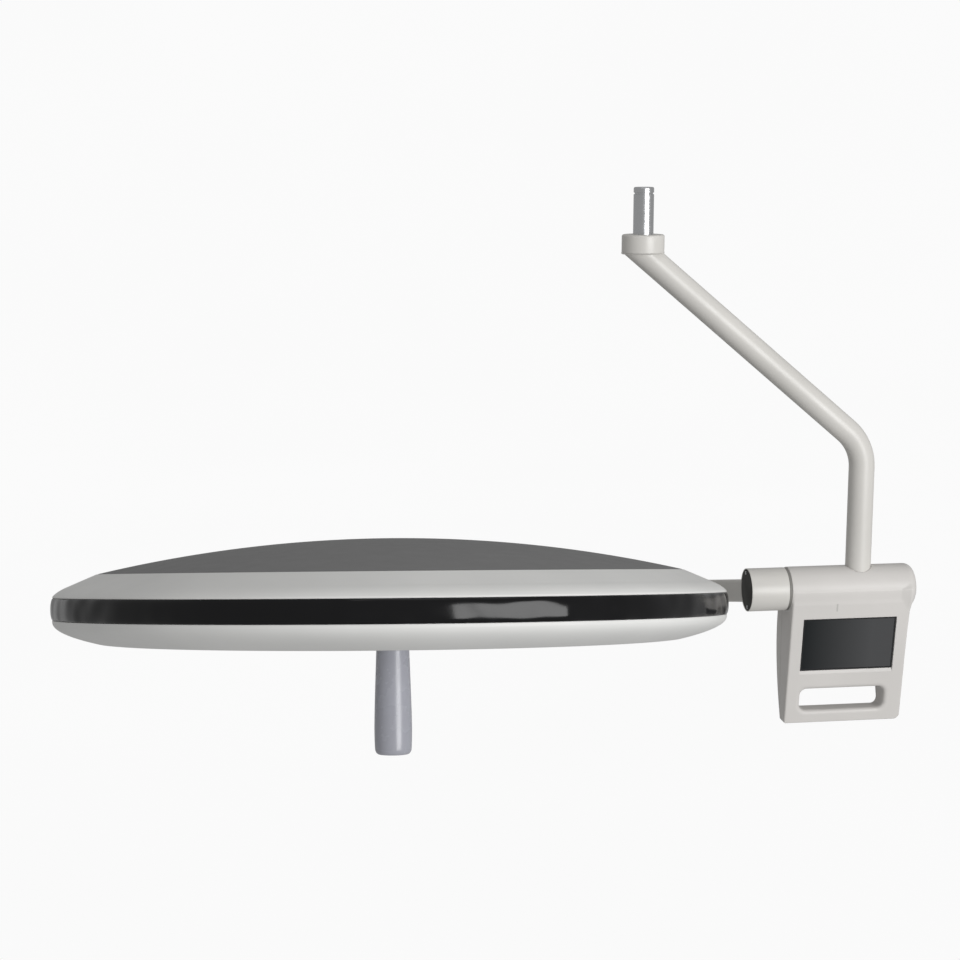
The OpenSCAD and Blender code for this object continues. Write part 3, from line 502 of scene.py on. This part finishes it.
BOX_LEFT, BOX_RIGHT, BOX_LOW = 407, 532, -143.5
BARREL_R, BARREL_LEFT, BARREL_RIGHT = 22.6, 406.5, 540
FACE_Y, FACE_Z, FACE_TILT = -22, -13, math.radians(8)
WINDOW_LEFT, WINDOW_TOP, WINDOW_W, WINDOW_H = 420, -15.6, 99, 58
GLASS_SINK = 1.4
SPLIT_Y = 14
SPLIT_GAP = 0.08
WALL = 2.5
BACK_FOOT, BACK_BELLY = 12, (46, -62)
SIDE_FLARE, FLARE_HEIGHT = 1.8, 70
CORNER_CUT = 2.8
BLEND_LEFT, BLEND_RIGHT, BLEND_FROM, BLEND_OVER = 1.6, 7, 522, 10
SLOT = (422.9, 512.6, -130.2, -106.4)
SLOT_R = 7
WINDOW_GAP, LEDGE_GAP, WINDOW_DEPTH = 0.8, 3.8, 6
PIVOT_BORE, PIVOT_DEPTH = 20.1, 6
TUBE_GAP = 0.2
BOX_SPACE = (403, -26, -145), (544, 36, 26)
ON_FACE = shift(0, FACE_Y, FACE_Z) @ turn(FACE_TILT, "X")

toe_y = FACE_Y + (FACE_Z - BOX_LOW) * math.tan(FACE_TILT)
outline = [(-BARREL_R, 0), (FACE_Y, FACE_Z), (toe_y, BOX_LOW), (BACK_FOOT, BOX_LOW)]
outline += bezier([(BACK_FOOT, BOX_LOW + 1), BACK_BELLY, (BARREL_R, 0)], 16)


def face_coords(p):
    """Along the box, into the tilted face and up the face."""
    y, z = p[..., 1] - FACE_Y, p[..., 2] - FACE_Z
    depth = y * math.cos(FACE_TILT) + z * math.sin(FACE_TILT)
    up = z * math.cos(FACE_TILT) - y * math.sin(FACE_TILT)
    return p[..., 0], depth, up


def box_outside(p):
    """Body and barrel, blended, with the finger slot's soft mouth."""
    x, y, z = p[..., 0], p[..., 1], p[..., 2]
    flare = SIDE_FLARE * np.clip(1 + z / FLARE_HEIGHT, 0, 1) ** 2
    side = np.maximum(x - BOX_RIGHT - flare, BOX_LEFT - x)
    body = rounded(polygon_distance(y, z, outline), side, 2.0)
    corner = (x - BOX_RIGHT + BOX_LOW - z) / math.sqrt(2) + CORNER_CUT
    body = smooth_max(body, corner, 0.8)
    end = rounded(np.hypot(y, z) - BARREL_R, x - BARREL_RIGHT, 9.0)
    barrel = smooth_max(end, BARREL_LEFT - x, 0.6)
    blend = BLEND_LEFT + BLEND_RIGHT * np.clip((x - BLEND_FROM) / BLEND_OVER, 0, 1)
    whole = smooth_min(body, barrel, blend)
    left, right, low, high = SLOT
    slot = np.stack([np.abs(x - (left + right) / 2) - (right - left) / 2 + SLOT_R,
                     np.abs(z - (low + high) / 2) - (high - low) / 2 + SLOT_R], -1)
    slot = np.linalg.norm(np.maximum(slot, 0), axis=-1) + np.minimum(slot.max(-1), 0) - SLOT_R
    return smooth_max(whole, -slot, 5.0)


def box_shell(p):
    """Hollow box with the hole behind its bezel, the pitch pivot's opening and the hole for the tube."""
    outside = box_outside(p)
    shell = np.maximum(outside, -(outside + WALL))
    x, depth, up = face_coords(p)
    middle, half = WINDOW_LEFT + WINDOW_W / 2, WINDOW_W / 2
    bottom = WINDOW_TOP - WINDOW_H
    side = np.abs(x - middle) - half
    window = np.maximum.reduce([side - WINDOW_GAP, up - WINDOW_TOP - WINDOW_GAP, bottom - LEDGE_GAP - up,
                                depth - WINDOW_DEPTH])
    shell = np.maximum(shell, -window)
    pivot = np.maximum(np.hypot(p[..., 1], p[..., 2]) - PIVOT_BORE, p[..., 0] - BARREL_LEFT - PIVOT_DEPTH)
    shell = smooth_max(shell, -pivot, 0.6)
    tube = np.maximum(np.hypot(p[..., 0] - swivel_x, p[..., 1]) - TUBE_R - TUBE_GAP, -p[..., 2])
    return smooth_max(shell, -tube, 0.4)


def front_field(p):
    return smooth_max(box_shell(p), p[..., 1] - SPLIT_Y + SPLIT_GAP, 0.3)


def back_field(p):
    return smooth_max(box_shell(p), SPLIT_Y + SPLIT_GAP - p[..., 1], 0.3)


GRID = 0.85
low_corner, high_corner = BOX_SPACE
front_high = (high_corner[0], SPLIT_Y + 2, high_corner[2])
back_low = (low_corner[0], SPLIT_Y - 2, low_corner[2])
show(skin("box_front", front_field, low_corner, front_high, GRID, BOX),
     "control_box", BOX_WHITE, "shell_white", "box_front_shell")
show(skin("box_back", back_field, back_low, high_corner, GRID, BOX),
     "control_box", BOX_WHITE, "shell_white", "box_back_shell")


def window_rings(levels):
    """Four-cornered rings round the window. A level is how far it stands out, how far below, and its depth."""
    verts, rings = [], []
    for out, below, depth in levels:
        left, right = WINDOW_LEFT - out, WINDOW_LEFT + WINDOW_W + out
        top, bottom = WINDOW_TOP + out, WINDOW_TOP - WINDOW_H - below
        rings.append(range(len(verts), len(verts) + 4))
        verts += [(left, depth, bottom), (right, depth, bottom), (right, depth, top), (left, depth, top)]
    return verts, rings


def make_bezel():
    """Window frame with crisp edges and a sloping ledge under the screen."""
    verts, rings = window_rings([(1.4, 4.4, -0.03), (0.3, 3.3, -0.03), (0.0, 3.0, 0.15), (0.0, 0.4, 1.25),
                                 (0.0, 0.0, 1.4), (0.0, 0.0, 2.45), (1.4, 4.4, 2.45)])
    return make_piece("screen_bezel", verts, join_rings(rings, True), BOX @ ON_FACE, sharp=15)


def make_glass():
    """Glass pane with a printed black border around the display area."""
    edge, border, thick, round_over = 0.2, 2.0, 1.8, 0.35
    levels = [(edge + round_over, GLASS_SINK + thick), (edge, GLASS_SINK + thick - round_over),
              (edge, GLASS_SINK + round_over), (edge + round_over, GLASS_SINK), (border, GLASS_SINK)]
    verts, rings = window_rings([(-inset, -inset, depth) for inset, depth in levels])
    faces = [tuple(rings[0])] + join_rings(rings, False) + [tuple(rings[-1])]
    glass = make_piece("screen_glass", verts, faces, BOX @ ON_FACE, sharp=20)
    show(glass, "control_box", GLASS_BLACK, "screen_glass", "touch_glass")
    glass.data.materials.append(DISPLAY)
    display = [f for f in glass.data.polygons if set(f.vertices) == set(rings[-1])]
    display[0].material_index = 1


def make_sensor():
    """Slim light pipe set flush in the face above the screen."""
    left, right, low, high = 453.6, 455.2, -7.7, 0.6
    section = [(left, low), (right, low), (right, high), (left, high)]
    frames = [shift(0, 1.5, 0), shift(0, -0.12, 0)]
    return sweep("light_pipe", frames, soften([(*p, 0.5) for p in section]), BOX @ ON_FACE)


show(make_bezel(), "control_box", BOX_WHITE, "shell_white")
make_glass()
show(make_sensor(), "control_box", SENSOR, "nylon_dark", "sensor_window")
groove = soften([(14, 404.15), (21.9, 404.15, 0.3), (21.9, 406.45, 0.3), (14, 406.45)])
show(spin("barrel_groove", groove, BOX @ ALONG_X), "control_box", GROOVE_GREY, "nylon_dark", "seam_ring")


# Yoke

YOKE_R, YOKE_T, YOKE_H = 385, 10, 24
ARM_EDGE = 3.2
ARM_FROM, ARM_TO, ARM_STEPS = 2.3, 87.6, 97
KNUCKLE_R, KNUCKLE_LEFT, KNUCKLE_RIGHT = 22.1, 364.5, 404
HUB_R, HUB_NEAR, HUB_FAR = 18, 350, 397

knuckle = soften([(KNUCKLE_R - 0.85, KNUCKLE_LEFT, 0.3), (KNUCKLE_R, KNUCKLE_LEFT, 0.3),
                  (KNUCKLE_R, KNUCKLE_RIGHT, 0.7), (8.2, KNUCKLE_RIGHT), (8.2, 398), (17, 398),
                  (17, 368.2), (KNUCKLE_R - 0.85, 368.2)])
show(spin("knuckle", knuckle, YOKE @ ALONG_X), "yoke", ENAMEL, "gloss_white", "knuckle_housing")
cap = soften([(0, KNUCKLE_LEFT + 0.5), (KNUCKLE_R - 0.9, KNUCKLE_LEFT + 0.5, 0.4),
              (KNUCKLE_R - 0.9, KNUCKLE_LEFT + 3.5), (0, KNUCKLE_LEFT + 3.5)], closed=False)
show(spin("knuckle_end_cap", cap, YOKE @ ALONG_X, closed=False),
     "yoke", DARK_NYLON, "nylon_dark", "knuckle_cap")


def make_arm():
    """Quarter ring of rounded flat section, from inside the knuckle to inside the roll hub."""
    half_t, half_h = YOKE_T / 2, YOKE_H / 2
    section = soften([(half_t, -half_h, ARM_EDGE), (half_t, half_h, ARM_EDGE), (-half_t, half_h, ARM_EDGE),
                      (-half_t, -half_h, ARM_EDGE)])
    angles = np.linspace(math.radians(ARM_FROM), math.radians(ARM_TO), ARM_STEPS)
    frames = [turn(a, "Z") @ shift(YOKE_R, 0, roll_z) for a in angles]
    return sweep("yoke_arc", frames, section, YOKE)


show(make_arm(), "yoke", ENAMEL, "gloss_white", "yoke_arm")
hub = soften([(10.1, HUB_NEAR), (HUB_R, HUB_NEAR, 1.2), (HUB_R, HUB_FAR, 0.6), (15, HUB_FAR), (15, 374),
              (10.1, 374)])
show(spin("roll_hub", hub, YOKE @ ALONG_ROLL), "yoke", ENAMEL, "gloss_white", "roll_housing")
hub_end = soften([(0, HUB_FAR + 2), (HUB_R, HUB_FAR + 2, 1.2), (HUB_R, HUB_FAR + 0.1), (14.9, HUB_FAR + 0.1),
                  (14.9, HUB_FAR - 3), (0, HUB_FAR - 3)], closed=False)
show(spin("roll_hub_cap", hub_end, YOKE @ ALONG_ROLL, closed=False),
     "yoke", DARK_NYLON, "nylon_dark", "hub_cap")
spacer = soften([(9, 341.3), (16, 341.3, 0.5), (16, 348.4, 0.5), (9, 348.4)])
show(spin("roll_collar", spacer, YOKE @ ALONG_ROLL), "yoke", DARK_NYLON, "nylon_dark", "roll_spacer")


# Head

HEAD_R, DOME_R = 331.5, 289
BAND_TOP, BAND_LOW = 7.3, -14
UNDERSIDE = -37.4
DOME_PEAK, DOME_EDGE = 63.4, 30
COVER_R, COVER_HOLE_R = 266, 40
DOME_SEAT_R, DOME_SEAT_Z, DOME_WALL = 278, 27.7, 2.5
HEAD_STEPS = 256
dome_rise = DOME_PEAK - DOME_EDGE
dome_ball = (DOME_R ** 2 + dome_rise ** 2) / (2 * dome_rise)


def dome_z(r):
    """Height of the dome's spherical top at a radius."""
    return DOME_PEAK - dome_ball + math.sqrt(dome_ball ** 2 - r * r)


dome = [(r, dome_z(r)) for r in np.linspace(0, DOME_R - 1.2, 60)]
dome += bezier([(DOME_R - 1.1, dome_z(DOME_R - 1.1)), (DOME_R - 0.25, DOME_EDGE),
                (DOME_R - 0.25, DOME_EDGE - 0.9)], 4)
dome += [(DOME_R - 0.25, DOME_SEAT_Z), (DOME_SEAT_R, DOME_SEAT_Z)]
dome += [(r, dome_z(r) - DOME_WALL) for r in np.linspace(DOME_SEAT_R, 0, 40)]
show(spin("dome", dome, HEAD, steps=HEAD_STEPS, closed=False), "head", DOME_GREY, "dome_grey", "dome_cap")

upper = bezier([(DOME_R + 0.1, DOME_EDGE - 0.7), (DOME_R + 0.1, DOME_EDGE),
                (DOME_R + 1.2, DOME_EDGE - 0.35)], 4)
upper += bezier([(DOME_R + 1.3, DOME_EDGE - 0.4), (304, 23.7), (HEAD_R - 14.5, 18)], 16)
upper += bezier([(HEAD_R - 14.2, 17.9), (HEAD_R - 3.8, 13.5), (HEAD_R, BAND_TOP + 1.2)], 16)
upper += bezier([(HEAD_R, BAND_TOP + 0.9), (HEAD_R, BAND_TOP), (HEAD_R - 0.7, BAND_TOP)], 4)
upper += [(HEAD_R - 2.5, BAND_TOP)]
upper += bezier([(HEAD_R - 2.6, BAND_TOP + 0.3), (HEAD_R - 5.5, 11.1), (HEAD_R - 16, 15.3)], 8)
upper += [(291, 25), (274, 25), (274, 27.5), (DOME_R + 0.1, 27.5)]
show(spin("upper_cover", upper, HEAD, steps=HEAD_STEPS), "head", SHELL_WHITE, "shell_white", "upper_shell")

band = [(HEAD_R - 3.3, BAND_TOP - 0.1), (HEAD_R - 3.3, BAND_LOW + 0.1)]
band += bezier([(HEAD_R - 0.4, BAND_LOW + 0.1), (HEAD_R + 2.6, BAND_LOW + 1.6),
                (HEAD_R + 2.6, BAND_TOP - 1.6), (HEAD_R - 0.4, BAND_TOP - 0.1)], 20)
show(spin("black_band", band, HEAD, steps=HEAD_STEPS), "head", BAND_BLACK, "band_black", "rim_band")

lower = bezier([(HEAD_R - 0.7, BAND_LOW), (HEAD_R, BAND_LOW), (HEAD_R, BAND_LOW - 0.6)], 4)
lower += bezier([(HEAD_R, BAND_LOW - 1), (HEAD_R, -17), (HEAD_R - 0.5, -18)], 5)
lower += bezier([(HEAD_R - 0.6, -18.2), (327, -28), (DOME_R, UNDERSIDE + 0.4)], 24)
lower += soften([(DOME_R - 4, UNDERSIDE), (COVER_R + 1, UNDERSIDE, 0.6), (COVER_R + 1, -33.4), (257, -33.4),
                 (257, -31), (270, -31)], closed=False)
lower += bezier([(DOME_R, -33.5), (324, -25.5), (HEAD_R - 2.5, BAND_LOW)], 10)
show(spin("lower_cover", lower, HEAD, steps=HEAD_STEPS), "head", SHELL_WHITE, "shell_white", "lower_shell")

cover = soften([(COVER_HOLE_R, UNDERSIDE, 0.4), (COVER_R, UNDERSIDE, 0.6), (COVER_R, UNDERSIDE + 3),
                (COVER_HOLE_R, UNDERSIDE + 3)])
show(spin("light_cover", cover, HEAD, steps=192), "head", CLEAR, "clear_cover", "lens_cover")
trim = soften([(19.8, -28.1), (39.9, -28.1), (39.9, -37.5), (46, -37.5, 0.8), (44, -39.6, 1.5),
               (22.8, -42.4, 1.5), (19.8, -41.4, 0.8)])
show(spin("centre_trim", trim, HEAD), "head", SHELL_WHITE, "shell_white", "hub_ring")

TOP_R, WIDE_R, END_R = 16.4, 18.8, 17.6
GRIP_TOP, GRIP_END = -42, -151.5
grip = [(0, GRIP_END)] + bezier([(END_R - 4, GRIP_END), (END_R - 0.6, -151.3), (END_R + 0.5, -147)], 8)
grip += bezier([(END_R + 0.6, -146.4), (WIDE_R - 0.05, -138), (WIDE_R, -126)], 10)
grip += bezier([(WIDE_R, -125), (WIDE_R - 0.4, -95), (TOP_R + 0.5, -64), (TOP_R, -43.5)], 24)
grip += bezier([(TOP_R, -43.2), (TOP_R, GRIP_TOP), (TOP_R - 1.2, GRIP_TOP)], 4)
grip += [(11.4, GRIP_TOP), (11.4, -59), (12, -59.6), (12, -62.2), (11.4, -62.8), (11.4, -131), (0, -132)]
show(spin("grip", grip, HEAD, closed=False), "handle", GRIP_WHITE, "handle_white", "handle")


# Materials of the CAD nodes that stay

CAD_LOOKS = [
    (STEEL, "swivel_journal box_screws display_module cap_screws pitch_shaft pitch_washers arm_screws"),
    (STEEL, "dome_screws upper_shell_screws lower_shell_screws cover_screws roll_shaft"),
    (STEEL, "handle_spigot handle_clip"),
    (ZINC, "swivel_ring board_spacers pitch_nut shaft_screws roll_washers_nut"),
    (BRONZE, "swivel_bush_upper swivel_bush_lower pitch_bush_left pitch_bush_right"),
    (BRONZE, "roll_bush_near roll_bush_far"),
    (CAST_ALU, "box_frame head_frame heat_spreader"),
    (RUBBER, "mast_cable display_gasket box_harness yoke_cable cover_gasket"),
    (GREEN_BOARD, "control_board driver_board"),
    (WHITE_BOARD, "led_boards"),
    (LED_YELLOW, "led_chips"),
    (MIRROR_CUP, "reflectors"),
    (LENS, "led_lenses"),
]
for look, names in CAD_LOOKS:
    for name in names.split():
        mesh = frame["nodes"][name].data
        mesh.materials.clear()
        mesh.materials.append(look)


# Studio

BACKDROP_GREYS = (0.955, 0.955, 0.955), (0.965, 0.965, 0.965)
WORLD_LEVEL = 0.42
LIGHTS_AIM = (0, 0, -0.4)


def area_light(name, at, aim, size, power):
    """White lamp of a size in metres, turned towards the point aim."""
    light = bpy.data.lights.new(name, "AREA")
    light.shape = "RECTANGLE"
    light.size, light.size_y = size
    light.energy = power
    lamp = bpy.data.objects.new(name, light)
    lamp.location = at
    lamp.rotation_euler = (Vector(aim) - Vector(at)).to_track_quat("-Z", "Y").to_euler()
    bpy.context.scene.collection.objects.link(lamp)


def make_floor():
    """Pale floor that curves up into a round wall. It is only a backdrop: the object isn't lit by it."""
    low, flat_r, round_r, wall_top = -1.9, 9.0, 4.0, 14.0
    curve = np.linspace(0, math.pi / 2, 17)
    profile = [(0, low)]
    profile += [(flat_r + round_r * math.sin(a), low + round_r - round_r * math.cos(a)) for a in curve]
    profile.append((flat_r + round_r, wall_top))
    floor = spin("floor", profile, Matrix.Identity(4), closed=False)
    material, tree, shader, coords = node_group("floor_white")
    tint = add_ramp(tree, add_noise(tree, coords, 0.4), *BACKDROP_GREYS)
    tree.links.new(tint, shader.inputs["Emission Color"])
    shader.inputs["Emission Strength"].default_value = 1.0
    shader.inputs["Base Color"].default_value = (0, 0, 0, 1)
    shader.inputs["Specular IOR Level"].default_value = 0.0
    floor.data.materials.append(material)
    floor.visible_diffuse = False
    floor.visible_glossy = False
    floor.visible_shadow = False


make_floor()
world = bpy.data.worlds.new("studio")
world.use_nodes = True
world.node_tree.nodes["Background"].inputs["Color"].default_value = (1, 1, 1, 1)
world.node_tree.nodes["Background"].inputs["Strength"].default_value = WORLD_LEVEL
bpy.context.scene.world = world
area_light("key", (1.3, -2.6, 0.0), LIGHTS_AIM, (1.6, 1.4), 59)
area_light("top", (0.2, -0.9, 1.9), LIGHTS_AIM, (2.0, 1.2), 6)



# Camera

CAMERA_TURN, CAMERA_DOWN = math.radians(7.73), math.radians(10.56)
CAMERA_BACK, CAMERA_RIGHT, CAMERA_UP = 1850, 87.6, 121.8
SENSOR_WIDTH, FOCAL_LENGTH = 36, 69.375

forward = Vector((math.sin(CAMERA_TURN) * math.cos(CAMERA_DOWN),
                  math.cos(CAMERA_TURN) * math.cos(CAMERA_DOWN), -math.sin(CAMERA_DOWN)))
right = Vector((math.cos(CAMERA_TURN), -math.sin(CAMERA_TURN), 0))
up = right.cross(forward)
camera_data = bpy.data.cameras.new("camera")
camera_data.sensor_width = SENSOR_WIDTH
camera_data.lens = FOCAL_LENGTH
camera = bpy.data.objects.new("camera", camera_data)
camera.matrix_world = Matrix((right, up, -forward)).transposed().to_4x4()
camera.location = pitch_at + (-CAMERA_BACK * forward + CAMERA_RIGHT * right + CAMERA_UP * up) * MM
bpy.context.scene.collection.objects.link(camera)
bpy.context.scene.camera = camera
bpy.context.scene.view_settings.view_transform = "Standard"
